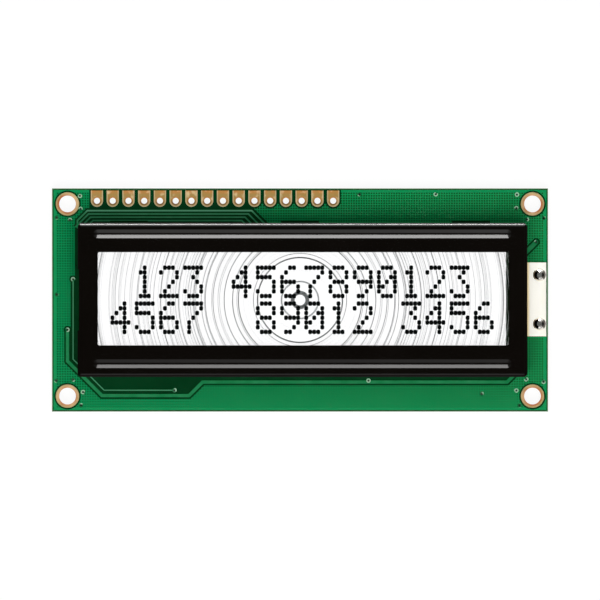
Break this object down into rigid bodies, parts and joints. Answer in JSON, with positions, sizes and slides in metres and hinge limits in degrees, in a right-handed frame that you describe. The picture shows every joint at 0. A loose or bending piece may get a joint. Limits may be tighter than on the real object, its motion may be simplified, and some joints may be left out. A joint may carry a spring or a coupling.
{
  "type": "character lcd module",
  "caption": "Two-line dot-matrix character display in a black folded steel bezel on a green circuit board, with a row of header pads, an edge-lit backlight and corner mounting holes.",
  "frame": {"origin": "centre of the board's outline, at the level of the lowest faces of the epoxy domes that it lies on", "axes": "+X along the board's length, +Y towards the edge with the header, +Z out of the display"},
  "size_m": [0.08, 0.036, 0.0121],
  "materials": {
    "board_mask": "solder-masked glass-epoxy board, dark green where there is no copper",
    "copper_mask": "cross-hatched copper under a glossy green mask",
    "track_mask": "solid copper under a glossy green mask",
    "gold_plate": "bare gold-plated copper, slightly uneven",
    "ring_plate": "plated copper, pinkish",
    "via_resin": "cured dark-green filling resin",
    "bezel_black": "satin black enamel on folded steel",
    "polarizer": "clear film with a soft gloss",
    "cell_glass": "clear float glass, greenish at its edges",
    "crystal": "bright field with black dots",
    "seal_epoxy": "dark epoxy seal",
    "plug_resin": "cured clear resin",
    "strip_rubber": "silicone rubber with fine carbon layers",
    "frame_white": "white moulded plastic",
    "diffuser": "milky film, lit from behind",
    "guide_acrylic": "clear acrylic",
    "reflector": "white reflecting film",
    "lamp_board_white": "white-masked circuit board",
    "tin_plate": "bright tin",
    "lamp_resin": "white lamp body with a yellowish lens",
    "solder": "shiny solder",
    "dome_epoxy": "black encapsulating epoxy",
    "chip_black": "black-coated ceramic",
    "chip_tan": "fired ceramic"
  },
  "bodies": {
    "root": {"circuit_board": "board_mask", "front_fields": "copper_mask", "back_fields": "copper_mask", "front_tracks": "track_mask", "back_tracks": "track_mask", "header_pads": "gold_plate", "mounting_rings": "ring_plate", "vias": "copper_mask", "via_plugs": "via_resin", "contact_pads": "gold_plate", "bezel": "bezel_black", "front_polarizer": "polarizer", "front_glass": "cell_glass", "liquid_crystal": "crystal", "cell_seal": "seal_epoxy", "port_plug": "plug_resin", "rear_glass": "cell_glass", "rear_polarizer": "polarizer", "upper_connector_strip": "strip_rubber", "lower_connector_strip": "strip_rubber", "backlight_frame": "frame_white", "diffuser_film": "diffuser", "light_guide": "guide_acrylic", "reflector_sheet": "reflector", "lamp_board": "lamp_board_white", "lamp_pads": "tin_plate", "lamps": "lamp_resin", "lead_pads": "tin_plate", "lead_wires": "tin_plate", "tab_solder": "solder", "back_solder": "solder", "controller_dome": "dome_epoxy", "driver_dome": "dome_epoxy", "chip_resistors": "chip_black", "chip_capacitors": "chip_tan", "chip_caps": "tin_plate", "chip_solder": "solder"}
  },
  "joints": []
}
